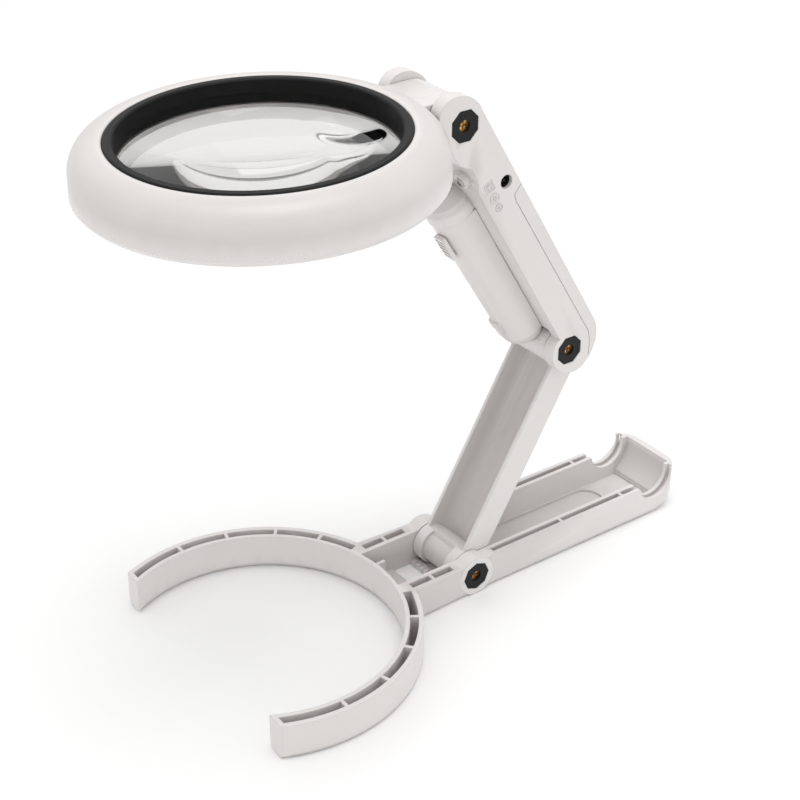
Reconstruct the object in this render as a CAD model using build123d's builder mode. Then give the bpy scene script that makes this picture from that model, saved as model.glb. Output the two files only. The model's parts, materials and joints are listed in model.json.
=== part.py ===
"""Folding reading magnifier: a lit lens head on two folding arms and a C-shaped foot."""
import os
from math import cos, radians, sin, sqrt

from build123d import *

os.makedirs("parts", exist_ok=True)

# ---------------------------------------------------------------- driving dimensions
# X runs along the handle, from the C ring at -X to the scoop end at +X.
# The hinges turn about Y. The origin is on the table under the foot hinge.

# foot moulding
foot_height = 17.0
ring_x = -100.9
ring_outer = 70.0
ring_inner = 62.0
ring_gap_x = -130.8
skin = 2.0
wall_outer = 20.8
wall_inner = 14.3
wall_flare = 22.6
slot_centre = 17.5
slot_width = 2.4
floor_thick = 2.0
pan_thick = 0.9
shell_end = 127.3
end_wall_top = 21.5

# arms
foot_hinge_z = 9.6
lower_length = 111.3
upper_length = 132.2
lower_angle = 63.65
upper_angle = 117.6
lower_half = 13.9
arm_half = 20.3
fork_half = 14.3
barrel_radius = 9.3
waist_radius = 7.8
boss_radius = 9.5
boss_outer = 21.6

# battery tube, along the front of the upper arm
tube_radius = 10.4
tube_slope = 4.3
cell_radius = 7.1
cell_length = 50.0
knob_y = -1.5

# head
head_reach = 80.0
head_tilt = 1.6
head_rise = 12.3
head_radius = 71.0
head_depth = 20.7
bezel_radius = 57.0
lens_radius = 55.0
lens_edge_top = -9.5
lens_edge = 3.0
neck_half = 13.9

# hinge hardware
bolt_radius = 2.5
bore_radius = 2.55
bolt_head_radius = 4.4
bolt_head_depth = 2.4
plate_radius = 6.88
plate_thick = 1.4
plate_recess = 1.6
washer_thick = 0.3


# ---------------------------------------------------------------- places and planes
def along(angle):
    """Unit direction in the XZ plane, angle measured from +X towards +Z."""
    return (cos(radians(angle)), 0, sin(radians(angle)))


def moved(point, angle, distance):
    """A point in the XZ plane, moved by a distance along an angle."""
    direction = along(angle)
    return (point[0] + direction[0] * distance, 0, point[2] + direction[2] * distance)


def side_plane(origin, angle):
    """A sketch plane facing -Y, with its x along the given angle."""
    return Plane(origin=origin, x_dir=along(angle), z_dir=(0, -1, 0))


foot_axis = (0, 0, foot_hinge_z)
knee_axis = moved(foot_axis, lower_angle, lower_length)
head_axis = moved(knee_axis, upper_angle, upper_length)
head_centre = moved(moved(head_axis, 180 + head_tilt, head_reach), 90 + head_tilt, head_rise)

base_side = side_plane((0, 0, 0), 0)
lower_side = side_plane(foot_axis, lower_angle)
upper_side = side_plane(head_axis, upper_angle - 180)
head_plane = Plane(origin=head_centre, x_dir=along(head_tilt), z_dir=along(90 + head_tilt))
head_side = side_plane(head_centre, head_tilt)


def point_on(side, x, y):
    """World position of a sketch point on one of the side planes."""
    return side.from_local_coords((x, y, 0))


def write(part, label):
    """Label one finished piece and write its STEP file."""
    part.label = label
    export_step(part, f"parts/{label}.step")


# ---------------------------------------------------------------- hinge hardware
plate_turns = {"foot": 1.4, "knee": 22.5, "head": 22.5}


def make_hinge(name, axis, half, inner):
    """Bolt, nut, two octagonal plates and two washers of one hinge; half is the outer plane."""
    centre = Plane(origin=axis, x_dir=(1, 0, 0), z_dir=(0, -1, 0))
    seat = half - plate_recess
    with BuildPart() as bolt:
        with BuildSketch(centre.offset(-seat)):
            Circle(bolt_radius)
        extrude(amount=2 * seat - bolt_head_depth)
        with BuildSketch(centre.offset(seat - bolt_head_depth)):
            Circle(bolt_head_radius)
        extrude(amount=bolt_head_depth)
        with BuildSketch(centre.offset(seat)):
            Rectangle(4.2, 0.9)
            Rectangle(0.9, 4.2)
        extrude(amount=-0.9, mode=Mode.SUBTRACT)
        chamfer(bolt.edges().filter_by(GeomType.CIRCLE).group_by(Axis.Y)[0].sort_by(SortBy.RADIUS)[-1], 0.3)
    write(bolt.part, f"{name}_hinge_bolt")

    with BuildPart() as nut:
        with BuildSketch(centre.offset(-seat)):
            RegularPolygon(bolt_head_radius, 6)
            Circle(bore_radius, mode=Mode.SUBTRACT)
        extrude(amount=bolt_head_depth)
    write(nut.part, f"{name}_hinge_nut")

    with BuildPart() as plates:
        for start in (seat, -seat - plate_thick):
            with BuildSketch(centre.offset(start)):
                RegularPolygon(plate_radius, 8, rotation=plate_turns[name])
                Circle(2.5, mode=Mode.SUBTRACT)
            extrude(amount=plate_thick)
    write(plates.part, f"{name}_hinge_plates")

    with BuildPart() as washers:
        for start in (inner, -inner - washer_thick):
            with BuildSketch(centre.offset(start)):
                Circle(7.0)
                Circle(bore_radius + 0.1, mode=Mode.SUBTRACT)
            extrude(amount=washer_thick)
    write(washers.part, f"{name}_hinge_washers")


def hinge_cutter(name, axis, half):
    """The space one hinge takes in its fork: bore, counterbores and octagonal recesses."""
    centre = Plane(origin=axis, x_dir=(1, 0, 0), z_dir=(0, -1, 0))
    seat = half - plate_recess
    with BuildPart() as cutter:
        with BuildSketch(centre):
            Circle(bore_radius)
        extrude(amount=half + 1, both=True)
        for sign in (1, -1):
            with BuildSketch(centre.offset(sign * (seat - bolt_head_depth))):
                Circle(bolt_head_radius + 0.1)
            extrude(amount=sign * (bolt_head_depth + plate_recess + 1))
            with BuildSketch(centre.offset(sign * seat)):
                RegularPolygon(plate_radius + 0.15, 8, rotation=plate_turns[name])
            extrude(amount=sign * (plate_recess + 1))
    return cutter.part


foot_cutter = hinge_cutter("foot", foot_axis, boss_outer)
knee_cutter = hinge_cutter("knee", knee_axis, arm_half)
head_cutter = hinge_cutter("head", head_axis, arm_half)


# ---------------------------------------------------------------- foot moulding
slot_inner = ring_inner + skin
slot_outer = ring_outer - 2.3
notch_x = sqrt(lower_length**2 - (19.5 - foot_hinge_z) ** 2)
notch_z = 18.9
notch_radius = 10.4
strip_half = 7.8
strip_thick = 1.3
end_radius = 19.0
end_arc_x = shell_end - end_radius + 0.6
rib_angles = (33.7, 52.0, 71.7, 91.5)


def ring_plane(height):
    """A horizontal sketch plane centred on the C ring."""
    return Plane(origin=(ring_x, 0, height), x_dir=(1, 0, 0), z_dir=(0, 0, 1))


with BuildPart() as base_frame:
    with BuildSketch(ring_plane(0)):
        Circle(ring_outer)
        with BuildLine():
            Polyline(
                (ring_outer - 6, -wall_flare),
                (11 - ring_x, -wall_outer),
                (shell_end - ring_x, -wall_outer),
                (shell_end - ring_x, wall_outer),
                (11 - ring_x, wall_outer),
                (ring_outer - 6, wall_flare),
                close=True,
            )
        make_face()
        Circle(ring_inner, mode=Mode.SUBTRACT)
        with Locations((ring_gap_x - ring_x - 46, 0)):
            Rectangle(80, 200, mode=Mode.SUBTRACT)
    extrude(amount=end_wall_top)
    corners = base_frame.edges().filter_by(Axis.Z).group_by(Axis.X)[-1]
    fillet(corners, 11)

    with BuildSketch(base_side):
        with BuildLine():
            Polyline(
                (end_arc_x, 0),
                (-175, 0),
                (-175, foot_height),
                (notch_x, foot_height),
                (notch_x, end_wall_top),
                (end_arc_x + end_radius, end_wall_top),
                (end_arc_x + end_radius, end_radius),
            )
            RadiusArc((end_arc_x + end_radius, end_radius), (end_arc_x, 0), end_radius)
        make_face()
    extrude(amount=80, both=True, mode=Mode.INTERSECT)
    rim = base_frame.faces().sort_by(Axis.Z)[0].outer_wire().edges()
    fillet(rim.filter_by(lambda edge: edge.length > 12), 2.6)
    with BuildSketch(ring_plane(-1)):
        with Locations((ring_gap_x - ring_x - 40, 0)):
            Rectangle(80, 200)
    extrude(amount=40, mode=Mode.SUBTRACT)

    with BuildSketch(base_side):
        with Locations((0, foot_hinge_z)):
            Circle(boss_radius)
    extrude(amount=boss_outer, both=True)

    # open space between the walls, with a shallow pan in the floor and a scooped end
    with BuildSketch(ring_plane(floor_thick)):
        with Locations((60 - ring_x - 40, 0)):
            Rectangle(200, 2 * wall_inner)
        Circle(slot_inner, mode=Mode.SUBTRACT)
        with Locations((shell_end - ring_x + 10, 0)):
            Rectangle(40, 60, mode=Mode.SUBTRACT)
        with Locations((-70, 0)):
            Rectangle(140, 60, mode=Mode.SUBTRACT)
    extrude(amount=30, mode=Mode.SUBTRACT)
    with BuildSketch(base_side):
        with BuildLine():
            Line((100, floor_thick), (shell_end - end_radius, floor_thick))
            RadiusArc((shell_end - end_radius, floor_thick), (shell_end - 3.3, 17.7), -15.7)
            Polyline((shell_end - 3.3, 17.7), (shell_end - 3.3, 30), (100, 30), (100, floor_thick))
        make_face()
    extrude(amount=wall_inner, both=True, mode=Mode.SUBTRACT)
    with BuildSketch(Plane.XY.offset(pan_thick)):
        with Locations((53, 0)):
            RectangleRounded(90, 2 * (wall_inner - 0.9), 8)
    extrude(amount=10, mode=Mode.SUBTRACT)
    with BuildSketch(Plane.XY.offset(1.2)):
        with Locations((11, 0)):
            Rectangle(10, 2 * wall_inner)
    extrude(amount=10, mode=Mode.SUBTRACT)

    # well under the hinge barrel, with a thin strip under its waist, and the open window beside it
    with BuildSketch(Plane.XY.offset(-1)):
        Rectangle(13.6, 2 * wall_inner)
        Rectangle(13.6, 2 * strip_half, mode=Mode.SUBTRACT)
        with Locations((-16, 0)):
            Rectangle(10.8, 2 * wall_inner)
    extrude(amount=10, mode=Mode.SUBTRACT)
    with BuildSketch(Plane.XY.offset(strip_thick)):
        Rectangle(13.6, 2 * wall_inner)
    extrude(amount=10, mode=Mode.SUBTRACT)
    for side in (1, -1):
        with BuildSketch(base_side.offset(side * strip_half)):
            with Locations((0, foot_hinge_z)):
                Circle(barrel_radius + 0.35)
        extrude(amount=side * (wall_inner - strip_half), mode=Mode.SUBTRACT)

    # knee notches with the groove that follows them
    with BuildSketch(base_side):
        with Locations((notch_x, notch_z)):
            Circle(notch_radius)
    extrude(amount=40, both=True, mode=Mode.SUBTRACT)
    for side in (1, -1):
        with BuildSketch(base_side.offset(side * slot_centre)):
            with Locations((notch_x, notch_z)):
                Circle(notch_radius + 1.8)
        extrude(amount=slot_width / 2, both=True, mode=Mode.SUBTRACT)

    # double skins: slots open at the top, with ribs left standing between them
    with BuildSketch(ring_plane(floor_thick)):
        Circle(slot_outer)
        Circle(slot_inner, mode=Mode.SUBTRACT)
        with Locations((ring_gap_x - ring_x - 40 + skin, 0)):
            Rectangle(80, 200, mode=Mode.SUBTRACT)
        with BuildLine():
            Polyline((0, 0), (80, 26.2), (80, -26.2), close=True)
        make_face(mode=Mode.SUBTRACT)
        for angle in rib_angles:
            for side in (1, -1):
                with Locations(Rotation(0, 0, side * angle)):
                    with Locations((slot_inner + 1, 0)):
                        Rectangle(8, 1.6, mode=Mode.SUBTRACT)
    extrude(amount=30, mode=Mode.SUBTRACT)
    for side in (1, -1):
        with BuildSketch(Plane.XY.offset(floor_thick)):
            for left, right in ((-34.4, -23.8), (-22.2, -11.8)):
                with Locations(((left + right) / 2, side * 18.2)):
                    Rectangle(right - left, 3.3)
            for left, right in ((11.5, 51.9), (53.5, 89.5), (91.1, 99.5)):
                with Locations(((left + right) / 2, side * slot_centre)):
                    Rectangle(right - left, slot_width)
        extrude(amount=30, mode=Mode.SUBTRACT)

    # small gusset behind the ring and the comb beside the barrel
    with BuildSketch(Plane.XY.offset(floor_thick - 0.5)):
        with Locations((-33.5, 7.5)):
            Rectangle(6.6, 1.6)
    extrude(amount=12.5)
    with BuildSketch(Plane.XY):
        for step in range(9):
            with Locations((-10.0, (step - 4) * 2.9)):
                Rectangle(1.8, 1.5)
    extrude(amount=2.6)

    add(foot_cutter, mode=Mode.SUBTRACT)
write(base_frame.part, "base_frame")
make_hinge("foot", foot_axis, boss_outer, wall_inner - washer_thick)


# ---------------------------------------------------------------- lower arm
front_foot = 5.8
front_knee = -1.4
back_foot = -8.3
back_knee = -16.0
arm_wall = 1.8
trough_floor = 1.3


def lower_edge(at_foot, at_knee, s):
    """Height of a straight edge of the lower arm at distance s from the foot hinge."""
    return at_foot + (at_knee - at_foot) * s / lower_length


with BuildPart() as trough:
    with BuildSketch(lower_side):
        with BuildLine():
            Polyline(
                (1, 20),
                (1, lower_edge(back_foot, back_knee, 1) + trough_floor),
                (lower_length + 6, lower_edge(back_foot, back_knee, lower_length + 6) + trough_floor),
                (lower_length + 6, 20),
                close=True,
            )
        make_face()
    extrude(amount=lower_half - arm_wall, both=True)
    long_edges = trough.edges().filter_by(lambda edge: edge.length > 100)
    fillet(long_edges.sort_by(Axis((0, 0, 0), lower_side.y_dir))[:2], 6.5)

with BuildPart() as lower_arm:
    with BuildSketch(lower_side):
        with BuildLine():
            Polyline(
                (0, front_foot),
                (lower_length, front_knee),
                (lower_length - 5.2, -7.9),
                (lower_length - 9.0, lower_edge(back_foot, back_knee, lower_length - 9.0)),
                (0, back_foot),
                close=True,
            )
        make_face()
    extrude(amount=lower_half, both=True)
    back_edges = lower_arm.edges().filter_by(lambda edge: edge.length > 95)
    fillet(back_edges.sort_by(Axis((0, 0, 0), lower_side.y_dir))[:2], 2.2)
    add(trough.part, mode=Mode.SUBTRACT)
    with BuildSketch(lower_side):
        Circle(barrel_radius)
        with Locations((lower_length, 0)):
            Circle(barrel_radius)
    extrude(amount=lower_half, both=True)
    # the foot barrel is waisted between its two flanges
    with BuildSketch(lower_side):
        Circle(barrel_radius + 1)
        Circle(waist_radius, mode=Mode.SUBTRACT)
        with Locations((14, lower_edge(front_foot, front_knee, 4) - 15)):
            Rectangle(20, 30, mode=Mode.SUBTRACT)
    extrude(amount=8.2, both=True, mode=Mode.SUBTRACT)
    with BuildSketch(lower_side):
        Circle(bore_radius)
        with Locations((lower_length, 0)):
            Circle(bore_radius)
    extrude(amount=40, both=True, mode=Mode.SUBTRACT)
write(lower_arm.part, "lower_arm")


# ---------------------------------------------------------------- upper arm housing
knee_s = upper_length
fork_head = 16.5
fork_knee = 119.8
tube_origin = (40, -11.9)
tube_side = side_plane(point_on(upper_side, *tube_origin), upper_angle - 180 + tube_slope)
tube_line = Axis(tube_side.origin, tube_side.x_dir)
screw_s = 26.5
screw_y = 11.8
jack_s = 35.0
jack_t = 6.2

with BuildSketch(upper_side) as arm_outline:
    with BuildLine():
        ThreePointArc((0, 9.6), (-9.9, 6.6), (-14.3, -1.0))
        ThreePointArc((-14.3, -1.0), (-11.9, -7.6), (-5.8, -9.8))
        Polyline(
            (-5.8, -9.8),
            (8, -9.8),
            (13.5, -9.1),
            (18.5, -5.2),
            (26, -5.2),
            (30, -7.2),
            (123.4, -2.0),
        )
        ThreePointArc((123.4, -2.0), (125.6, -7.1), (knee_s, -9.7))
        ThreePointArc((knee_s, -9.7), (141.8, -6.0), (145.1, 1.5))
        ThreePointArc((145.1, 1.5), (139.6, 12.9), (126, 17.1))
        Line((126, 17.1), (0, 9.6))
    make_face()

cover_outline = (
    (40.4, 30),
    (40.4, 12.6),
    (43.0, 7.0),
    (46.0, 6.4),
    (131, 12.1),
    (137, 10.6),
    (141.5, 7.6),
    (150, 7.6),
    (150, 30),
)

with BuildPart() as arm_housing:
    with BuildSketch(upper_side):
        add(arm_outline.sketch_local)
    extrude(amount=arm_half, both=True)

    # collar that the battery tube hooks under
    with BuildSketch(tube_side):
        with BuildLine():
            Polyline(
                (3.6, 0),
                (3.6, -10.9),
                (-1.0, -10.9),
                (-4.5, -9.6),
                (-12.3, -0.8),
                (-12.3, 0),
                close=True,
            )
        make_face()
    revolve(axis=tube_line, revolution_arc=360)
    with BuildSketch(upper_side):
        Polygon(*cover_outline, align=None)
    extrude(amount=30, both=True, mode=Mode.SUBTRACT)

    # ears for the two front screws
    for side in (1, -1):
        with BuildSketch(Plane(
            origin=point_on(upper_side, screw_s, -3.5) + Vector(0, side * screw_y, 0),
            x_dir=upper_side.x_dir,
            z_dir=-upper_side.y_dir,
        )):
            Circle(3.6)
        extrude(amount=4.6)

    # forks for the neck and for the lower arm
    with BuildSketch(upper_side):
        with Locations((fork_head - 50, 0)):
            Rectangle(100, 80)
        with Locations((fork_knee + 50, 0)):
            Rectangle(100, 80)
    extrude(amount=fork_half, both=True, mode=Mode.SUBTRACT)

    # hollow tray behind the front wall, and its window into the battery tube
    with BuildSketch(upper_side):
        Polygon(
            (19, -3.2),
            (26.5, -3.2),
            (31, -5.1),
            (117.8, -0.3),
            (117.8, 20),
            (47, 20),
            (45, 5),
            (38, 9.6),
            (19, 8.4),
            align=None,
        )
    extrude(amount=arm_half - 2.2, both=True, mode=Mode.SUBTRACT)
    with BuildSketch(tube_side):
        Polygon((4.5, -20), (4.5, 12), (77.6, 12), (77.6, -20), align=None)
    extrude(amount=8.2, both=True, mode=Mode.SUBTRACT)
    add(knee_cutter, mode=Mode.SUBTRACT)
    add(head_cutter, mode=Mode.SUBTRACT)

    # inlet hole in the near cheek and pilot holes for the front screws
    with BuildSketch(upper_side.offset(arm_half)):
        with Locations((jack_s, jack_t)):
            Circle(2.95)
    extrude(amount=-6, mode=Mode.SUBTRACT)
    for side in (1, -1):
        with BuildSketch(Plane(
            origin=point_on(upper_side, screw_s, 0) + Vector(0, side * screw_y, 0),
            x_dir=upper_side.x_dir,
            z_dir=-upper_side.y_dir,
        )):
            Circle(1.05)
        extrude(amount=12, mode=Mode.SUBTRACT)
write(arm_housing.part, "arm_housing")
make_hinge("knee", knee_axis, arm_half, lower_half + 0.1)
make_hinge("head", head_axis, arm_half, neck_half + 0.1)

with BuildPart() as arm_back_cover:
    with BuildSketch(upper_side):
        add(arm_outline.sketch_local)
        Polygon(*[(s + 0.2, t + 0.2) for s, t in cover_outline], align=None, mode=Mode.INTERSECT)
    extrude(amount=arm_half, both=True)
    with BuildSketch(upper_side):
        with BuildLine():
            Polyline((46.5, 0), (46.5, 10.6), (126, 15.3))
            ThreePointArc((126, 15.3), (138.2, 11.7), (143.2, 1.5))
            Polyline((143.2, 1.5), (143.2, 0), (46.5, 0))
        make_face()
    extrude(amount=arm_half - 1.8, both=True, mode=Mode.SUBTRACT)
write(arm_back_cover.part, "arm_back_cover")


# ---------------------------------------------------------------- battery tube
wall = 1.0
dome_radius = 7.0
tube_tip = 86.5


def tube_solid(radius, start, tip, rounding):
    """A round tube along the tube line with a domed end, and flat sides up to the arm."""
    with BuildPart() as solid:
        with BuildSketch(tube_side):
            with BuildLine():
                Polyline((start, 0), (start, -radius), (tip - rounding, -radius))
                RadiusArc((tip - rounding, -radius), (tip, rounding - radius), -rounding)
                Polyline((tip, rounding - radius), (tip, 0), (start, 0))
            make_face()
        revolve(axis=tube_line, revolution_arc=360)
        with BuildSketch(Plane(origin=tube_side.origin, x_dir=tube_side.x_dir, z_dir=tube_side.y_dir)):
            Polygon(
                (start, -radius),
                (tip - rounding, -radius),
                (tip - rounding * 0.3, -radius + rounding * 0.3),
                (tip, -radius + rounding),
                (tip, radius - rounding),
                (tip - rounding * 0.3, radius - rounding * 0.3),
                (tip - rounding, radius),
                (start, radius),
                align=None,
            )
        extrude(amount=8)
    return solid.part


tube_body = tube_solid(tube_radius, 3.9, tube_tip, dome_radius)
tube_hollow = tube_solid(tube_radius - wall, 2.9, tube_tip - wall, dome_radius - wall)

with BuildPart() as battery_tube:
    add(tube_body)
    with BuildSketch(tube_side):
        Polygon((66, -9), (67.5, -11.2), (72.5, -11.2), (76, -9), align=None)
    extrude(amount=3.2, both=True)
    add(tube_hollow, mode=Mode.SUBTRACT)
    with BuildSketch(upper_side):
        Polygon((30, -7.4), (123.4, -2.2), (150, -0.7), (150, 40), (30, 40), align=None)
    extrude(amount=40, both=True, mode=Mode.SUBTRACT)
    with BuildSketch(upper_side):
        with Locations((knee_s, 0)):
            Circle(10.1)
    extrude(amount=40, both=True, mode=Mode.SUBTRACT)
    with BuildSketch(Plane(
        origin=tube_side.origin + Vector(0, knob_y, 0),
        x_dir=tube_side.x_dir,
        z_dir=-tube_side.y_dir,
    )):
        with Locations((17.5, 0)):
            Rectangle(10.0, 2.6)
    extrude(amount=30, mode=Mode.SUBTRACT)
write(battery_tube.part, "battery_tube")

tube_front = Plane(
    origin=tube_side.origin + Vector(0, knob_y, 0),
    x_dir=tube_side.x_dir,
    z_dir=-tube_side.y_dir,
)
with BuildPart() as switch_knob:
    with BuildSketch(tube_front.offset(tube_radius + 0.2)):
        with Locations((15.0, 0)):
            RectangleRounded(13.0, 6.2, 1.2)
    extrude(amount=2.0)
    with BuildSketch(tube_front.offset(tube_radius + 2.2)):
        with Locations(*[(15.0 + 2.2 * (step - 2), 0) for step in range(5)]):
            Rectangle(0.9, 5.0)
    extrude(amount=-0.6, mode=Mode.SUBTRACT)
    with BuildSketch(tube_front.offset(tube_radius - 3.9)):
        with Locations((15.0, 0)):
            Rectangle(4.4, 2.2)
    extrude(amount=4.2)
write(switch_knob.part, "switch_knob")

with BuildPart() as switch_body:
    with BuildSketch(tube_front.offset(2.0)):
        with Locations((16.8, 0)):
            Rectangle(15.6, 6.4)
    extrude(amount=5.6)
    with BuildSketch(tube_front.offset(tube_radius - 4.0)):
        with Locations((17.5, 0)):
            Rectangle(10.0, 2.8)
    extrude(amount=3.0, mode=Mode.SUBTRACT)
write(switch_body.part, "switch_body")

cell_start = 27.0
cell_line = Plane(origin=tube_side.origin + tube_side.x_dir * cell_start, z_dir=tube_side.x_dir)
with BuildPart() as battery_cell:
    with BuildSketch(cell_line):
        Circle(cell_radius)
    extrude(amount=cell_length)
    fillet(battery_cell.edges(), 0.6)
    with BuildSketch(cell_line):
        Circle(2.6)
    extrude(amount=-1.3)
write(battery_cell.part, "battery_cell")

with BuildPart() as cell_contact:
    with BuildSketch(cell_line.offset(-1.7)):
        Circle(4.5)
    extrude(amount=0.4)
write(cell_contact.part, "cell_contact")

with BuildPart() as cell_spring:
    with BuildLine() as coil:
        Helix(1.1, 3.3, 2.6, center=cell_line.offset(cell_length + 0.4).origin, direction=tube_side.x_dir)
    with BuildSketch(Plane(coil.line @ 0, z_dir=coil.line % 0)):
        Circle(0.35)
    sweep(is_frenet=True)
write(cell_spring.part, "cell_spring")


# ---------------------------------------------------------------- inside the housing
with BuildPart() as inlet_jack:
    with BuildSketch(upper_side.offset(arm_half - 2.2)):
        with Locations((jack_s - 0.2, jack_t - 1.2)):
            Rectangle(8.6, 7.0)
    extrude(amount=-11)
    with BuildSketch(upper_side.offset(arm_half - 2.2)):
        with Locations((jack_s, jack_t)):
            Circle(2.85)
    extrude(amount=0.5)
    with BuildSketch(upper_side.offset(arm_half - 1.7)):
        with Locations((jack_s, jack_t)):
            Circle(2.45)
            Circle(0.65, mode=Mode.SUBTRACT)
    extrude(amount=-9, mode=Mode.SUBTRACT)
write(inlet_jack.part, "inlet_jack")

with BuildPart() as driver_board:
    with BuildSketch(upper_side):
        Polygon((50, 0.4), (112, 3.8), (112, 5.4), (50, 2.0), align=None)
    extrude(amount=12, both=True)
write(driver_board.part, "driver_board")

with BuildPart() as front_screws:
    for side in (1, -1):
        spot = point_on(upper_side, screw_s, -8.1) + Vector(0, side * screw_y, 0)
        front = Plane(origin=spot, x_dir=upper_side.x_dir, z_dir=-upper_side.y_dir)
        with BuildSketch(front):
            Circle(2.2)
        extrude(amount=1.0)
        with BuildSketch(front):
            Circle(1.0)
        extrude(amount=-6)
        with BuildSketch(front.offset(1.0)):
            Rectangle(2.8, 0.6)
            Rectangle(0.6, 2.8)
        extrude(amount=-0.6, mode=Mode.SUBTRACT)
write(front_screws.part, "front_screws")


# ---------------------------------------------------------------- head
head_line = Axis(head_plane.origin, head_plane.z_dir)
ledge_top = lens_edge_top - lens_edge
ledge_bottom = ledge_top - 2.0
relief_radius = 15.2
relief_half = 21.0
hinge_in_head = (head_reach, -head_rise)
led_circle = 62.2
led_count = 24


def ring(bottom, height, outer, inner):
    """A flat ring about the head's own axis, from bottom upwards."""
    with BuildPart() as solid:
        with BuildSketch(head_plane.offset(bottom)):
            Circle(outer)
            Circle(inner, mode=Mode.SUBTRACT)
        extrude(amount=height)
    return solid.part


with BuildPart() as head_envelope:
    with BuildSketch(head_side):
        with BuildLine():
            Polyline((0, 0), (60.2, 0))
            RadiusArc((60.2, 0), (70.6, -11.0), 11.0)
            Polyline((70.6, -11.0), (head_radius, -18.6), (head_radius - 1.6, -head_depth))
            Polyline((head_radius - 1.6, -head_depth), (0, -head_depth), (0, 0))
        make_face()
    revolve(axis=head_line, revolution_arc=360)

with BuildPart() as relief_walls:
    for side in (1, -1):
        with BuildSketch(head_side.offset(side * 12.9)):
            with Locations(hinge_in_head):
                Circle(relief_radius + 1.0)
        extrude(amount=side * (relief_half + 1 - 12.9))
    add(head_envelope.part, mode=Mode.INTERSECT)

with BuildPart() as relief_cut:
    for side in (1, -1):
        with BuildSketch(head_side.offset(side * (neck_half + 0.2))):
            with Locations(hinge_in_head):
                Circle(relief_radius)
        extrude(amount=side * (relief_half - neck_half - 0.2))

with BuildPart() as head_shell:
    with BuildSketch(head_side):
        with BuildLine():
            Polyline((bezel_radius + 0.2, -0.3), (bezel_radius + 0.8, 0), (60.2, 0))
            RadiusArc((60.2, 0), (70.6, -11.0), 11.0)
            Polyline((70.6, -11.0), (head_radius, -18.6), (head_radius - 1.6, -head_depth))
            Polyline((head_radius - 1.6, -head_depth), (68.8, -head_depth), (68.8, -11.0))
            RadiusArc((68.8, -11.0), (60.2, -2.0), -9.0)
            Polyline(
                (60.2, -2.0),
                (59.2, -2.0),
                (59.2, ledge_bottom),
                (52.9, ledge_bottom),
                (52.9, ledge_top),
                (bezel_radius + 0.2, ledge_top),
                (bezel_radius + 0.2, -0.3),
            )
        make_face()
    revolve(axis=head_line, revolution_arc=360)
    add(relief_walls.part)
    with BuildSketch(head_side):
        Polygon((61, -2.6), (80, -2.9), (80, -20.7), (68.9, -20.7), (68.6, -11), (64, -6.5), align=None)
    extrude(amount=neck_half, both=True)
    with BuildSketch(head_side):
        with Locations(hinge_in_head):
            Circle(barrel_radius)
    extrude(amount=neck_half, both=True)
    add(relief_cut.part, mode=Mode.SUBTRACT)
    with BuildSketch(head_side):
        with Locations(hinge_in_head):
            Circle(bore_radius)
    extrude(amount=30, both=True, mode=Mode.SUBTRACT)
    with BuildSketch(head_plane.offset(ledge_bottom - 1)):
        with PolarLocations(56.6, 4, 45):
            Circle(0.9)
    extrude(amount=2.6, mode=Mode.SUBTRACT)
write(head_shell.part, "head_shell")

with BuildPart() as head_bottom_cover:
    add(ring(-head_depth + 0.1, 1.7, 68.6, 53.1))
    add(ring(-head_depth + 0.1, head_depth - 0.1 + ledge_bottom, 54.9, 53.1))
    with BuildSketch(head_plane.offset(-head_depth)):
        with PolarLocations(led_circle, led_count):
            Circle(2.6)
        with PolarLocations(56.6, 4, 45):
            Circle(1.0)
    extrude(amount=4, mode=Mode.SUBTRACT)
    with BuildSketch(head_side):
        with Locations(hinge_in_head):
            Circle(relief_radius + 1.2)
    extrude(amount=relief_half + 1.2, both=True, mode=Mode.SUBTRACT)
write(head_bottom_cover.part, "head_bottom_cover")

with BuildPart() as lens_bezel:
    with BuildSketch(head_side):
        Polygon(
            (57.0, -0.4),
            (56.4, 0.3),
            (53.9, 0.3),
            (53.3, -0.3),
            (52.8, -5.5),
            (53.3, -5.5),
            (53.3, lens_edge_top),
            (55.15, lens_edge_top),
            (55.15, ledge_top),
            (57.0, ledge_top),
            align=None,
        )
    revolve(axis=head_line, revolution_arc=360)
write(lens_bezel.part, "lens_bezel")

lens_bulge = 5.5
curved_radius = 52.6
inset_radius = 17.5
inset_centre = 34.4
with BuildPart() as main_lens:
    with BuildSketch(head_side):
        with BuildLine():
            Line((0, ledge_top - lens_bulge), (0, lens_edge_top + lens_bulge))
            TangentArc((0, lens_edge_top + lens_bulge), (curved_radius, lens_edge_top), tangent=(1, 0))
            Polyline(
                (curved_radius, lens_edge_top),
                (lens_radius, lens_edge_top),
                (lens_radius, ledge_top),
                (curved_radius, ledge_top),
            )
            TangentArc((0, ledge_top - lens_bulge), (curved_radius, ledge_top), tangent=(1, 0))
        make_face()
    revolve(axis=head_line, revolution_arc=360)
    with BuildSketch(head_plane.offset(-30)):
        with Locations((inset_centre, 0)):
            Circle(inset_radius + 0.05)
    extrude(amount=40, mode=Mode.SUBTRACT)
write(main_lens.part, "main_lens")

inset_side = side_plane(head_plane.from_local_coords((inset_centre, 0, 0)), head_tilt)
with BuildPart() as inset_lens:
    with BuildSketch(inset_side):
        with BuildLine():
            Line((0, -18.6), (0, -5.4))
            TangentArc((0, -5.4), (inset_radius, -7.2), tangent=(1, 0))
            Line((inset_radius, -7.2), (inset_radius, -13.2))
            TangentArc((0, -18.6), (inset_radius, -13.2), tangent=(1, 0))
        make_face()
    revolve(axis=Axis(inset_side.origin, head_plane.z_dir), revolution_arc=360)
write(inset_lens.part, "inset_lens")

board_bottom = ledge_bottom - 1.2
with BuildPart() as led_board:
    add(ring(board_bottom, 1.2, 64.6, 59.4))
write(led_board.part, "led_board")

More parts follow.
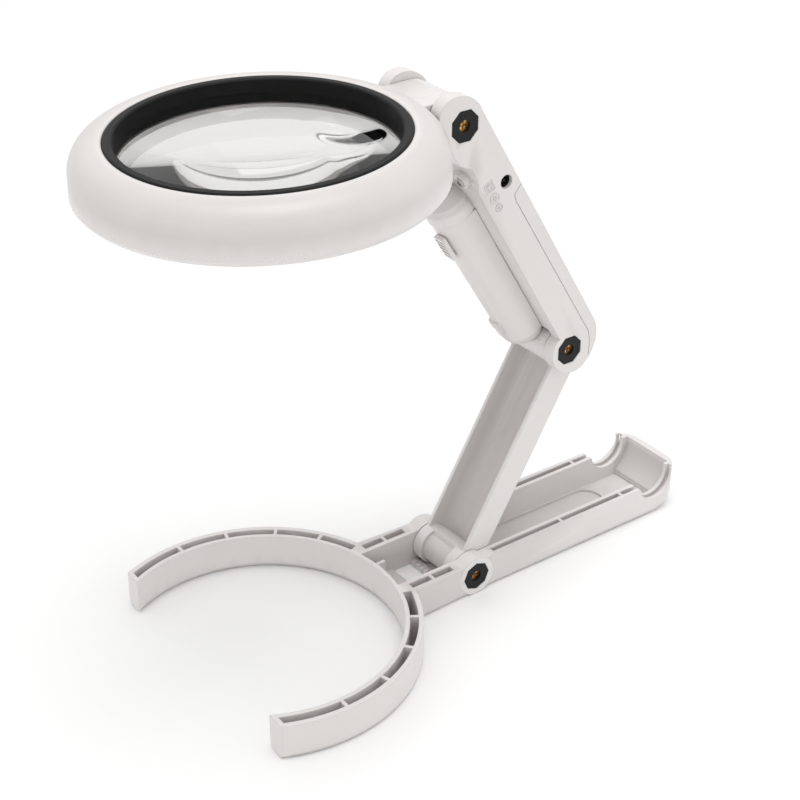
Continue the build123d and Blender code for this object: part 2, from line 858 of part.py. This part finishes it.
with BuildPart() as leds:
    with BuildSketch(head_plane.offset(board_bottom)):
        with PolarLocations(led_circle, led_count):
            Rectangle(2.8, 3.5)
    extrude(amount=-1.4)
write(leds.part, "leds")

with BuildPart() as light_diffuser:
    add(ring(-head_depth + 1.8, 1.2, 64.4, 59.8))
write(light_diffuser.part, "light_diffuser")

with BuildPart() as head_screws:
    with BuildSketch(head_plane.offset(-head_depth + 0.1)):
        with PolarLocations(56.6, 4, 45):
            Circle(0.85)
    extrude(amount=7.6)
    with BuildSketch(head_plane.offset(-head_depth + 0.1)):
        with PolarLocations(56.6, 4, 45):
            Circle(1.7)
    extrude(amount=-0.8)
write(head_screws.part, "head_screws")
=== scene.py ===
"""Looks of a folding ring-lit magnifier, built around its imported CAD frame."""

import json
from math import cos, pi, radians, sin

import bmesh
import bpy
from mathutils import Matrix, Vector


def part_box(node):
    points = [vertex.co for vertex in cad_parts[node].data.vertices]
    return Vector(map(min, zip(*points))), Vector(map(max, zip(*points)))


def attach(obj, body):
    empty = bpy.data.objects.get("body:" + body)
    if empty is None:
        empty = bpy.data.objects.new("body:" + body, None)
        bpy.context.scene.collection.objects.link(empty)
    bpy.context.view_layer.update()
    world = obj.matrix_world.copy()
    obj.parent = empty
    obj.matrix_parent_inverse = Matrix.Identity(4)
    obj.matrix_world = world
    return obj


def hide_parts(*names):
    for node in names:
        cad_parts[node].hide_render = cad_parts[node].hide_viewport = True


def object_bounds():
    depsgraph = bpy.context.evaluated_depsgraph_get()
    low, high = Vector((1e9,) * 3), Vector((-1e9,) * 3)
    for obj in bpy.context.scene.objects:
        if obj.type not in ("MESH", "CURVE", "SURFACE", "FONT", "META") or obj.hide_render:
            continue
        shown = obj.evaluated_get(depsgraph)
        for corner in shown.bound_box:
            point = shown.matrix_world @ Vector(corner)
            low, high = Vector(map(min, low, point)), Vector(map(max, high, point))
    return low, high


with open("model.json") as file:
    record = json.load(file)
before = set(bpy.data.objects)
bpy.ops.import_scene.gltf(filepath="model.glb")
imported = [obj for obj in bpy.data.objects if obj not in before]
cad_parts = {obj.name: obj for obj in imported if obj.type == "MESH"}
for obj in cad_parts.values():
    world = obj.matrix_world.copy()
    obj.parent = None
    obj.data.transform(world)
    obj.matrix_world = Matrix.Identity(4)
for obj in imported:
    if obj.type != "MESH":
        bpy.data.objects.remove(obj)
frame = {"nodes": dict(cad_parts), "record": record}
cad_low, cad_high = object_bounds()

bl_info = {
    "name": "Folding magnifier looks",
    "version": (1, 0, 0),
    "blender": (4, 5, 0),
    "location": "View3D > Sidebar > Magnifier",
    "description": "Finishes, small moulded details, light and camera for a folding magnifier",
    "category": "Object",
}

MM = 0.001
HINGES = ("foot", "knee", "head")


# ---------------------------------------------------------------- places taken from the frame
def node_box(node):
    """Lowest and highest corner of a CAD node as vectors."""
    low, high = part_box(node)
    return Vector(low), Vector(high)


def joint_place(name):
    """Place of a hinge joint in the frame."""
    for joint in frame["record"]["behaviour"]["joints"]:
        if joint["name"] == name:
            return Vector(joint["pos_m"])
    raise RuntimeError(f"the frame has no joint {name}")


KNEE_AXIS = joint_place("knee_hinge")
HEAD_AXIS = joint_place("head_hinge")
HEAD_TILT = radians(1.6)
HEAD_ALONG = Vector((cos(HEAD_TILT), 0, sin(HEAD_TILT)))
HEAD_UP = Vector((-sin(HEAD_TILT), 0, cos(HEAD_TILT)))
HEAD_CENTRE = HEAD_AXIS - HEAD_ALONG * 80 * MM + HEAD_UP * 12.3 * MM
ARM_ALONG = (KNEE_AXIS - HEAD_AXIS).normalized()
ARM_BACK = Vector((-ARM_ALONG.z, 0, ARM_ALONG.x))
ARM_HALF = node_box("arm_housing")[1].y


def on_arm(along, back, across=0.0):
    """A place on the upper arm in millimetres: along from the head hinge, back, and across."""
    return HEAD_AXIS + ARM_ALONG * along * MM + ARM_BACK * back * MM + Vector((0, across * MM, 0))


# ---------------------------------------------------------------- shader maths
class Sock:
    """Wraps a node socket so shader maths can be written as Python expressions."""

    def __init__(self, shader, socket):
        self.shader = shader
        self.socket = socket

    def _math(self, operation, *values):
        return self.shader.node("ShaderNodeMath", {"operation": operation}, dict(enumerate(values)))

    def __add__(self, other):
        return self._math("ADD", self, other)

    def __radd__(self, other):
        return self._math("ADD", other, self)

    def __sub__(self, other):
        return self._math("SUBTRACT", self, other)

    def __rsub__(self, other):
        return self._math("SUBTRACT", other, self)

    def __mul__(self, other):
        return self._math("MULTIPLY", self, other)

    def __rmul__(self, other):
        return self._math("MULTIPLY", other, self)

    def ramp(self, low, high):
        """0 at or under low, 1 at or over high, smooth between."""
        return self.shader.node(
            "ShaderNodeMapRange",
            {"interpolation_type": "SMOOTHSTEP"},
            {"Value": self, "From Min": low, "From Max": high},
            "Result",
        )


class Shader:
    """A material under construction; node() makes one node and returns its output."""

    def __init__(self, name):
        self.material = bpy.data.materials.new(name)
        self.material.use_nodes = True
        self.tree = self.material.node_tree
        self.tree.nodes.clear()
        self.output = self.tree.nodes.new("ShaderNodeOutputMaterial")

    def node(self, kind, settings=None, inputs=None, output=0):
        """One node of a kind, its settings set first, then its inputs; returns the named output."""
        made = self.tree.nodes.new(kind)
        for key, value in (settings or {}).items():
            setattr(made, key, value)
        for key, value in (inputs or {}).items():
            if isinstance(value, Sock):
                self.tree.links.new(value.socket, made.inputs[key])
            else:
                made.inputs[key].default_value = value
        return Sock(self, made.outputs[output])

    def place(self):
        """Object coordinates in metres, the frame's own at rest."""
        return self.node("ShaderNodeTexCoord", output="Object")

    def noise(self, scale, detail=2.0, roughness=0.5, place=None, output="Fac"):
        """Smooth noise; scale is features per metre."""
        inputs = {"Scale": scale, "Detail": detail, "Roughness": roughness}
        inputs["Vector"] = place or self.place()
        return self.node("ShaderNodeTexNoise", None, inputs, output)

    def cells(self, scale, feature="F1", place=None):
        """Distance field of scattered cells."""
        inputs = {"Scale": scale, "Vector": place or self.place()}
        return self.node("ShaderNodeTexVoronoi", {"feature": feature}, inputs, "Distance")

    def blend(self, amount, first, second):
        """Colour mix of two colours by an amount."""
        made = self.tree.nodes.new("ShaderNodeMix")
        made.data_type = "RGBA"
        for key, value in (("Factor", amount), ("A", first), ("B", second)):
            socket = [s for s in made.inputs if s.name == key and s.enabled][0]
            if isinstance(value, Sock):
                self.tree.links.new(value.socket, socket)
            else:
                socket.default_value = value
        out = [s for s in made.outputs if s.enabled][0]
        return Sock(self, out)

    def bump(self, height, strength, distance, normal=None):
        """A bump normal from a height value, distance in metres."""
        inputs = {"Height": height, "Strength": strength, "Distance": distance}
        if normal is not None:
            inputs["Normal"] = normal
        return self.node("ShaderNodeBump", None, inputs, "Normal")

    def soft_edges(self, radius):
        """A normal that rounds sharp edges over a radius in metres."""
        return self.node("ShaderNodeBevel", {"samples": 4}, {"Radius": radius}, "Normal")

    def outer_edge_mask(self, reach):
        """About 1 on outer edges and 0 on flat or hollow places."""
        geometry = self.node("ShaderNodeNewGeometry", output="Pointiness")
        return geometry.ramp(0.5, 0.5 + reach)

    def finish(self, **values):
        """Principled surface with the named socket values, joined to the output."""
        inputs = {key.replace("_", " "): value for key, value in values.items()}
        surface = self.node("ShaderNodeBsdfPrincipled", None, inputs, "BSDF")
        self.tree.links.new(surface.socket, self.output.inputs["Surface"])
        return self.material


def shade(value):
    """A grey as a colour."""
    return (value, value, value, 1.0)


def tint(red, green, blue):
    """A linear colour with full alpha."""
    return (red, green, blue, 1.0)


# ---------------------------------------------------------------- finishes
def white_abs(settings, name="white_abs", smooth=False, warm=0.0):
    """Injection-moulded white ABS: spark grain, faint flow clouds, smudges, soft edges, and outer edges
    rubbed smoother and lightened as a painted highlight.
    """
    shader = Shader(name)
    base = settings.plastic_colour
    light = (base[0], base[1] - warm * 0.5, base[2] - warm, 1.0)
    dark = (light[0] * 0.955, light[1] * 0.945, light[2] * 0.94, 1.0)
    clouds = shader.noise(26.0, 3.0, 0.55)
    drift = shader.noise(7.0, 1.0)
    flow = (clouds * 0.6 + drift * 0.4).ramp(0.36, 0.66)
    # mask of outer edges: drives a painted highlight in the colour and a smoother, rubbed finish in the
    # roughness
    edge_highlight_and_polish = shader.outer_edge_mask(0.05)
    smudges = shader.noise(95.0, 4.0, 0.62).ramp(0.5, 0.78)
    colour = shader.blend(flow, dark, light)
    colour = shader.blend(smudges * 0.10, colour, tint(0.62, 0.58, 0.55))
    # painted highlight: outer edges blended toward near-white, standing in for light caught on rounded edges
    colour = shader.blend(edge_highlight_and_polish * 0.35, colour, tint(0.9, 0.885, 0.875))
    grain_scale = 1.0 / settings.grain_size
    grain = shader.noise(grain_scale, 2.0, 0.6)
    pits = shader.cells(grain_scale * 0.55)
    height = grain * 0.65 + pits * 0.35
    edges = shader.soft_edges(settings.edge_radius)
    strength = 0.16 if smooth else 0.42
    normal = shader.bump(height, strength, 0.00005, edges)
    base_rough = 0.30 if smooth else 0.44
    rough = base_rough + grain * 0.12 + smudges * 0.07 - edge_highlight_and_polish * 0.10
    return shader.finish(
        Base_Color=colour,
        Roughness=rough,
        Normal=normal,
        IOR=1.53,
        Subsurface_Weight=0.08,
        Subsurface_Radius=(0.0012, 0.001, 0.0009),
        Subsurface_Scale=1.0,
    )


def black_satin(name, grey, rough, grain_size=0.00045):
    """Black moulded plastic with a fine satin grain and pale dust in scattered patches."""
    shader = Shader(name)
    grain = shader.noise(1.0 / grain_size, 3.0, 0.6)
    clouds = shader.noise(60.0, 3.0)
    dust = shader.noise(420.0, 5.0, 0.7).ramp(0.62, 0.8)
    colour = shader.blend(clouds, shade(grey), shade(grey * 1.8))
    colour = shader.blend(dust * 0.07, colour, shade(0.16))
    normal = shader.bump(grain, 0.3, 0.00004, shader.soft_edges(0.0003))
    dulled = rough + grain * 0.14 + dust * 0.2
    return shader.finish(Base_Color=colour, Roughness=dulled, Normal=normal, IOR=1.34)


def turned_metal(name, bright, dull, turn=2600.0, rough=0.24):
    """Turned metal: fine lathe rings across the bolt, tarnish in patches."""
    shader = Shader(name)
    place = shader.place()
    rings = shader.node(
        "ShaderNodeTexWave",
        {"wave_type": "BANDS", "bands_direction": "Y"},
        {"Scale": turn, "Distortion": 1.2, "Detail": 2.0, "Vector": place},
        "Fac",
    )
    tarnish = shader.noise(700.0, 4.0, 0.62).ramp(0.4, 0.72)
    speckle = shader.noise(3800.0, 2.0)
    colour = shader.blend(tarnish, bright, dull)
    colour = shader.blend(speckle * 0.15, colour, tint(0.30, 0.22, 0.12))
    normal = shader.bump(rings * 0.5 + speckle * 0.5, 0.25, 0.00003, shader.soft_edges(0.00015))
    return shader.finish(
        Base_Color=colour, Metallic=1.0, Roughness=rough + tarnish * 0.22 + speckle * 0.06, Normal=normal
    )


def clear_acrylic(name):
    """Polished lens acrylic with barely visible mould waves."""
    shader = Shader(name)
    waves = shader.noise(55.0, 1.0)
    normal = shader.bump(waves, 0.02, 0.0002)
    return shader.finish(
        Base_Color=tint(0.76, 0.755, 0.752), Roughness=0.0, Transmission_Weight=1.0, IOR=1.49, Normal=normal
    )


def milky_diffuser():
    """Milky polycarbonate over the lamps."""
    shader = Shader("milky_diffuser")
    haze = shader.noise(140.0, 3.0)
    grain = shader.noise(2400.0, 2.0)
    colour = shader.blend(haze, shade(0.86), shade(0.92))
    normal = shader.bump(grain, 0.2, 0.00003)
    return shader.finish(
        Base_Color=colour, Roughness=0.35 + grain * 0.2, Normal=normal, Subsurface_Weight=0.4,
        Subsurface_Radius=(0.003, 0.003, 0.003), Subsurface_Scale=1.0,
    )


def circuit_board(name, mask, line):
    """Solder mask over copper tracks, drawn by a fine brick pattern."""
    shader = Shader(name)
    place = shader.place()
    tracks = shader.node(
        "ShaderNodeTexBrick",
        {"offset": 0.37, "squash": 1.6},
        {"Vector": place, "Scale": 210.0, "Mortar Size": 0.022, "Bias": -0.2},
        "Fac",
    )
    weave = shader.cells(1500.0)
    colour = shader.blend(tracks * 0.65, mask, line)
    normal = shader.bump(tracks * 0.7 + weave * 0.3, 0.35, 0.00005)
    return shader.finish(Base_Color=colour, Roughness=0.3 + weave * 0.15, Normal=normal, Coat_Weight=0.25)


def lamp_phosphor():
    """Small lamps: yellow phosphor under clear resin, a white case round it."""
    shader = Shader("lamp_phosphor")
    spots = shader.cells(520.0).ramp(0.25, 0.45)
    grain = shader.noise(5200.0, 2.0)
    colour = shader.blend(spots, tint(0.88, 0.72, 0.22), tint(0.86, 0.85, 0.80))
    normal = shader.bump(grain, 0.15, 0.00002)
    return shader.finish(Base_Color=colour, Roughness=0.25 + grain * 0.1, Normal=normal, Coat_Weight=0.5)


def cell_sleeve():
    """Shrink sleeve of the cell: plain green-grey film with a pale band and fine wrinkles all over."""
    shader = Shader("cell_sleeve")
    wrinkles = shader.noise(650.0, 4.0, 0.65)
    band = shader.noise(18.0, 0.0).ramp(0.49, 0.51)
    colour = shader.blend(band * 0.7, tint(0.05, 0.16, 0.13), tint(0.55, 0.58, 0.56))
    normal = shader.bump(wrinkles, 0.35, 0.00012)
    return shader.finish(Base_Color=colour, Roughness=0.22 + wrinkles * 0.15, Normal=normal, Coat_Weight=0.3)


def fibre_washer():
    """Compressed fibre friction washer."""
    shader = Shader("fibre_washer")
    strands = shader.noise(900.0, 6.0, 0.75)
    colour = shader.blend(strands, tint(0.025, 0.022, 0.02), tint(0.10, 0.085, 0.07))
    normal = shader.bump(strands, 0.6, 0.0001)
    return shader.finish(Base_Color=colour, Roughness=0.75 + strands * 0.15, Normal=normal)


# ---------------------------------------------------------------- meshes
def solid_piece(name, body, material, slot, mesh_builder, *nodes):
    """A new piece from a bmesh builder, riding on a body, in place of any CAD nodes named."""
    mesh = bpy.data.meshes.new(name)
    form = bmesh.new()
    mesh_builder(form)
    bmesh.ops.recalc_face_normals(form, faces=form.faces)
    form.to_mesh(mesh)
    form.free()
    mesh.materials.append(material)
    piece = bpy.data.objects.new(name, mesh)
    bpy.context.scene.collection.objects.link(piece)
    for polygon in mesh.polygons:
        polygon.use_smooth = True
    mesh.set_sharp_from_angle(angle=radians(32))
    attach(piece, body)
    if nodes:
        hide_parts(*nodes)
    return piece


def prism(form, origin, across, upward, outward, outline, depth, edge):
    """A raised flat shape with softened upper edge, from an outline in two directions."""
    rows = []
    middle = sum((Vector(p) for p in outline), Vector((0, 0))) / len(outline)
    for inset, height in ((0.0, 0.0), (0.0, depth - edge), (edge * 0.3, depth - edge * 0.3), (edge, depth)):
        row = []
        for point in outline:
            flat = Vector(point)
            pull = (middle - flat).normalized() * inset
            flat = flat + pull
            row.append(form.verts.new(origin + across * flat.x + upward * flat.y + outward * height))
        rows.append(row)
    count = len(outline)
    for low, high in zip(rows, rows[1:]):
        for index in range(count):
            after = (index + 1) % count
            form.faces.new((low[index], low[after], high[after], high[index]))
    form.faces.new(rows[-1])
    form.faces.new(rows[0][::-1])


def lens_surface(form, smooth_band=1.2):
    """The main lens with the small strong lens moulded into its underside, as one skin."""
    rings, segments = 64, 160
    rim, curve, edge_top, edge_low, bulge = 55.0, 52.6, -9.5, -12.5, 5.5
    small, small_at, small_edge, small_deep = 17.5, 34.4, -13.2, 5.4

    small_lift, small_limit = 0.35, 1.6

    def reaches(x, y):
        reach = min(1.0, (x * x + y * y) / curve**2)
        return reach, ((x - small_at) ** 2 + y * y) / small**2

    def top(x, y):
        reach, near = reaches(x, y)
        return edge_top + bulge * (1 - reach) + small_lift * max(0.0, 1 - near) ** 2

    def low(x, y):
        reach, near = reaches(x, y)
        broad = edge_low - bulge * (1 - reach)
        strong = small_edge - small_deep * (1 - near) if near < small_limit else 0.0
        gap = max(0.0, 1 - abs(broad - strong) / smooth_band)
        return min(broad, strong) - gap * gap * smooth_band * 0.25

    def spot(x, y, z):
        return HEAD_CENTRE + HEAD_ALONG * x * MM + HEAD_UP * z * MM + Vector((0, y * MM, 0))

    sides = []
    for height in (top, low):
        centre = form.verts.new(spot(0, 0, height(0, 0)))
        loops = []
        for ring in range(1, rings + 1):
            radius = rim * ring / rings
            loop = []
            for step in range(segments):
                angle = 2 * pi * step / segments
                x, y = radius * cos(angle), radius * sin(angle)
                loop.append(form.verts.new(spot(x, y, height(x, y))))
            loops.append(loop)
        for step in range(segments):
            form.faces.new((centre, loops[0][step], loops[0][(step + 1) % segments]))
        for inner, outer in zip(loops, loops[1:]):
            for step in range(segments):
                after = (step + 1) % segments
                form.faces.new((inner[step], inner[after], outer[after], outer[step]))
        sides.append(loops[-1])
    for step in range(segments):
        after = (step + 1) % segments
        form.faces.new((sides[0][step], sides[0][after], sides[1][after], sides[1][step]))


def cheek_mark(form, along, outline, height):
    """A raised stroke on the cheek beside the inlet, from an outline in millimetres."""
    sink, edge = 0.0002, 0.00008
    origin = on_arm(along, -1.6, -ARM_HALF / MM) + Vector((0, sink, 0))
    flat = [(x * MM, y * MM) for x, y in outline]
    prism(form, origin, ARM_ALONG, ARM_BACK, Vector((0, -1, 0)), flat, height + sink, edge)


def stroke(start, end, width):
    """Outline of a straight stroke."""
    first, last = Vector(start), Vector(end)
    way = (last - first).normalized()
    side = Vector((-way.y, way.x)) * width / 2
    return [tuple(first + side), tuple(last + side), tuple(last - side), tuple(first - side)]


def arc_strokes(centre, radius, first, last, width, steps=14):
    """Outlines of the short strokes that make an arc."""
    spots = []
    for step in range(steps + 1):
        angle = first + (last - first) * step / steps
        spots.append((centre[0] + radius * cos(angle), centre[1] + radius * sin(angle)))
    return [stroke(a, b, width) for a, b in zip(spots, spots[1:])]


def polarity_marks(form, height):
    """Insulation squares and a cup, pin and ring symbol, raised on the moulding."""
    width, square_at, symbol_at = 0.32, 31.2, 37.4
    for half in (2.1, 2.1 * 0.52):
        square = [(-half, -half), (half, -half), (half, half), (-half, half)]
        for first, last in zip(square, square[1:] + square[:1]):
            cheek_mark(form, square_at, stroke(first, last, width), height)
    symbol = [
        *arc_strokes((0, 0), 2.2, radians(35), radians(325), width),
        *arc_strokes((0, 0), 0.8, 0.0, 2 * pi, width, 10),
        stroke((0.8, 0), (3.6, 0), width),
        *arc_strokes((5.2, 0), 1.7, 0.0, 2 * pi, width, 16),
        stroke((4.3, 0), (6.1, 0), width),
        stroke((5.2, -0.9), (5.2, 0.9), width),
    ]
    for outline in symbol:
        cheek_mark(form, symbol_at, outline, height)


# ---------------------------------------------------------------- settings
class MagnifierPlastic(bpy.types.PropertyGroup):
    """Sizes and colours of the moulded plastic."""

    plastic_colour: bpy.props.FloatVectorProperty(
        name="Plastic colour",
        description="Linear colour of the white housing plastic",
        subtype="COLOR",
        size=3,
        default=(0.66, 0.634, 0.624),
        min=0.0,
        max=1.0,
    )
    grain_size: bpy.props.FloatProperty(
        name="Grain size",
        description="Size of one grain of the spark-eroded surface",
        default=0.00055,
        unit="LENGTH",
    )
    edge_radius: bpy.props.FloatProperty(
        name="Edge radius",
        description="Rounding that the light sees along moulded edges",
        default=0.0005,
        unit="LENGTH",
    )


class MagnifierDetail(bpy.types.PropertyGroup):
    """Sizes of the small raised details."""

    mark_height: bpy.props.FloatProperty(
        name="Mark height",
        description="How far the polarity marks stand out of the cheek",
        default=0.00032,
        unit="LENGTH",
    )


class MagnifierStage(bpy.types.PropertyGroup):
    """Light, floor and camera."""

    lens: bpy.props.FloatProperty(
        name="Focal length",
        description="Camera focal length in millimetres",
        default=76.46,
    )
    azimuth: bpy.props.FloatProperty(
        name="Azimuth",
        description="Camera's turn round the object",
        default=radians(-36.258),
        subtype="ANGLE",
    )
    elevation: bpy.props.FloatProperty(
        name="Elevation",
        description="Camera's height above the horizon",
        default=radians(30.198),
        subtype="ANGLE",
    )
    roll: bpy.props.FloatProperty(
        name="Roll",
        description="Camera's turn about its own view",
        default=radians(0.254),
        subtype="ANGLE",
    )
    distance: bpy.props.FloatProperty(
        name="Distance", description="Camera to its aim", default=0.7221, unit="LENGTH"
    )
    aim: bpy.props.FloatVectorProperty(
        name="Aim",
        description="The place that the camera looks at",
        default=(-0.02749, 0.0, 0.10068),
        subtype="XYZ",
        unit="LENGTH",
    )
    key_power: bpy.props.FloatProperty(
        name="Key power",
        description="Power of the large key light in watts",
        default=12.0,
    )
    fill_power: bpy.props.FloatProperty(
        name="Fill power",
        description="Power of the fill light in watts",
        default=1.0,
    )
    sky: bpy.props.FloatProperty(
        name="Sky",
        description="Strength of the even studio surround",
        default=0.86,
    )


# ---------------------------------------------------------------- operators
def dress(material, *nodes):
    """Gives CAD nodes a material in place of the plain one they came with."""
    for node in nodes:
        piece = frame["nodes"][node]
        if not piece.material_slots:
            piece.data.materials.append(material)
        for place in piece.material_slots:
            place.material = material


class MAGNIFIER_OT_plastic(bpy.types.Operator):
    """White moulded parts of the foot, arms and head"""

    bl_idname = "magnifier.plastic"
    bl_label = "White plastic parts"

    def execute(self, context):
        settings = context.scene.magnifier_plastic
        dress(white_abs(settings), "base_frame", "lower_arm", "arm_housing", "arm_back_cover")
        dress(white_abs(settings, "white_abs_tube", warm=0.006), "battery_tube")
        dress(white_abs(settings, "white_abs_head", smooth=True), "head_shell", "head_bottom_cover")
        dress(white_abs(settings, "white_abs_knob", smooth=True), "switch_knob")
        height = context.scene.magnifier_detail.mark_height
        marks = white_abs(settings, "white_abs_marks")
        solid_piece(
            "polarity_marks", "upper_arm", marks, "white_abs", lambda form: polarity_marks(form, height)
        )
        return {"FINISHED"}


class MAGNIFIER_OT_optics(bpy.types.Operator):
    """Lenses, bezel and diffuser"""

    bl_idname = "magnifier.optics"
    bl_label = "Lenses and bezel"

    def execute(self, context):
        acrylic = clear_acrylic("clear_acrylic")
        solid_piece("lens_with_inset", "head", acrylic, "lens", lens_surface, "main_lens", "inset_lens")
        dress(black_satin("bezel_black", 0.0025, 0.46), "lens_bezel")
        dress(milky_diffuser(), "light_diffuser")
        return {"FINISHED"}


class MAGNIFIER_OT_hinges(bpy.types.Operator):
    """Bolts, nuts, plates and washers of the three hinges"""

    bl_idname = "magnifier.hinges"
    bl_label = "Hinge hardware"

    def execute(self, context):
        brass = turned_metal("hinge_brass", tint(0.78, 0.50, 0.20), tint(0.42, 0.24, 0.09))
        steel = turned_metal("plated_steel", shade(0.62), shade(0.36), rough=0.3)
        plate = black_satin("plate_black", 0.003, 0.42)
        washer = fibre_washer()
        for name in HINGES:
            dress(brass, f"{name}_hinge_bolt")
            dress(steel, f"{name}_hinge_nut")
            dress(plate, f"{name}_hinge_plates")
            dress(washer, f"{name}_hinge_washers")
        dress(steel, "head_screws", "front_screws", "cell_spring", "cell_contact")
        return {"FINISHED"}


class MAGNIFIER_OT_electrics(bpy.types.Operator):
    """Inlet, switch, boards, lamps and cell"""

    bl_idname = "magnifier.electrics"
    bl_label = "Electric parts"

    def execute(self, context):
        dress(black_satin("inlet_black", 0.008, 0.4), "inlet_jack", "switch_body")
        dress(circuit_board("board_green", tint(0.01, 0.09, 0.035), tint(0.03, 0.22, 0.08)), "driver_board")
        dress(circuit_board("board_white", shade(0.8), shade(0.6)), "led_board")
        dress(lamp_phosphor(), "leds")
        dress(cell_sleeve(), "battery_cell")
        return {"FINISHED"}


def studio_light(name, place, target, size, power, colour=(1, 1, 1)):
    """A soft rectangular studio light aimed at a place."""
    data = bpy.data.lights.new(name, "AREA")
    data.shape = "RECTANGLE"
    data.size = size[0]
    data.size_y = size[1]
    data.energy = power
    data.color = colour
    lamp = bpy.data.objects.new(name, data)
    lamp.location = place
    lamp.rotation_mode = "QUATERNION"
    lamp.rotation_quaternion = (Vector(target) - Vector(place)).to_track_quat("-Z", "Y")
    bpy.context.scene.collection.objects.link(lamp)
    return lamp


def floor_paper():
    """Seamless pale paper."""
    shader = Shader("floor_paper")
    fibres = shader.noise(900.0, 4.0, 0.7)
    clouds = shader.noise(3.0, 2.0)
    colour = shader.blend(clouds, shade(0.93), shade(0.95))
    normal = shader.bump(fibres, 0.05, 0.00005)
    return shader.finish(Base_Color=colour, Roughness=0.9, Normal=normal, Specular_IOR_Level=0.1)


class MAGNIFIER_OT_stage(bpy.types.Operator):
    """Floor, studio light and camera"""

    bl_idname = "magnifier.stage"
    bl_label = "Stage"

    def execute(self, context):
        stage = context.scene.magnifier_stage
        aim = Vector(stage.aim)

        mesh = bpy.data.meshes.new("floor")
        form = bmesh.new()
        bmesh.ops.create_grid(form, x_segments=24, y_segments=24, size=6.0)
        form.to_mesh(mesh)
        form.free()
        mesh.materials.append(floor_paper())
        floor = bpy.data.objects.new("floor", mesh)
        floor.location = (0, 0, cad_low.z - 0.0001)
        context.scene.collection.objects.link(floor)

        studio_light("key_light", (0.0, -0.15, 2.0), aim, (1.1, 1.1), stage.key_power)
        studio_light("fill_light", (1.2, -0.9, 0.9), aim, (1.2, 1.0), stage.fill_power)
        studio_light("back_light", (0.3, 1.3, 1.2), aim, (1.4, 0.8), stage.fill_power)

        context.scene.view_settings.view_transform = "Standard"
        world = bpy.data.worlds.new("studio")
        world.use_nodes = True
        background = world.node_tree.nodes["Background"]
        background.inputs["Color"].default_value = (1.0, 0.995, 0.99, 1.0)
        background.inputs["Strength"].default_value = stage.sky
        context.scene.world = world

        turn, lift = stage.azimuth, stage.elevation
        back = Vector((sin(turn) * cos(lift), -cos(turn) * cos(lift), sin(lift)))
        right = Vector((cos(turn), sin(turn), 0))
        above = back.cross(right)
        rolled = right * cos(stage.roll) + above * sin(stage.roll)
        upright = back.cross(rolled)
        camera = bpy.data.objects.new("camera", bpy.data.cameras.new("camera"))
        camera.data.lens = stage.lens
        camera.data.sensor_width = 36.0
        camera.data.clip_start = 0.05
        camera.data.clip_end = 50.0
        place = aim + back * stage.distance
        camera.matrix_world = Matrix(
            (
                (rolled.x, upright.x, back.x, place.x),
                (rolled.y, upright.y, back.y, place.y),
                (rolled.z, upright.z, back.z, place.z),
                (0, 0, 0, 1),
            )
        )
        context.scene.collection.objects.link(camera)
        context.scene.camera = camera
        return {"FINISHED"}


class MAGNIFIER_PT_panel(bpy.types.Panel):
    """Lists the steps that build the looks"""

    bl_label = "Folding magnifier"
    bl_idname = "MAGNIFIER_PT_panel"
    bl_space_type = "VIEW_3D"
    bl_region_type = "UI"
    bl_category = "Magnifier"

    def draw(self, context):
        for group in ("magnifier_plastic", "magnifier_detail", "magnifier_stage"):
            settings = getattr(context.scene, group)
            box = self.layout.box()
            for key in settings.__annotations__:
                box.prop(settings, key)
        for operator in OPERATORS:
            self.layout.operator(operator.bl_idname)


SETTINGS = {
    "magnifier_plastic": MagnifierPlastic,
    "magnifier_detail": MagnifierDetail,
    "magnifier_stage": MagnifierStage,
}
OPERATORS = (
    MAGNIFIER_OT_plastic,
    MAGNIFIER_OT_optics,
    MAGNIFIER_OT_hinges,
    MAGNIFIER_OT_electrics,
    MAGNIFIER_OT_stage,
)


def register():
    for kind in (*SETTINGS.values(), *OPERATORS, MAGNIFIER_PT_panel):
        bpy.utils.register_class(kind)
    for name, kind in SETTINGS.items():
        setattr(bpy.types.Scene, name, bpy.props.PointerProperty(type=kind))


def unregister():
    for name in SETTINGS:
        delattr(bpy.types.Scene, name)
    for kind in (MAGNIFIER_PT_panel, *reversed(OPERATORS), *SETTINGS.values()):
        bpy.utils.unregister_class(kind)


def main():
    register()
    for operator in OPERATORS:
        group, action = operator.bl_idname.split(".")
        getattr(getattr(bpy.ops, group), action)()


if __name__ == "__main__":
    main()
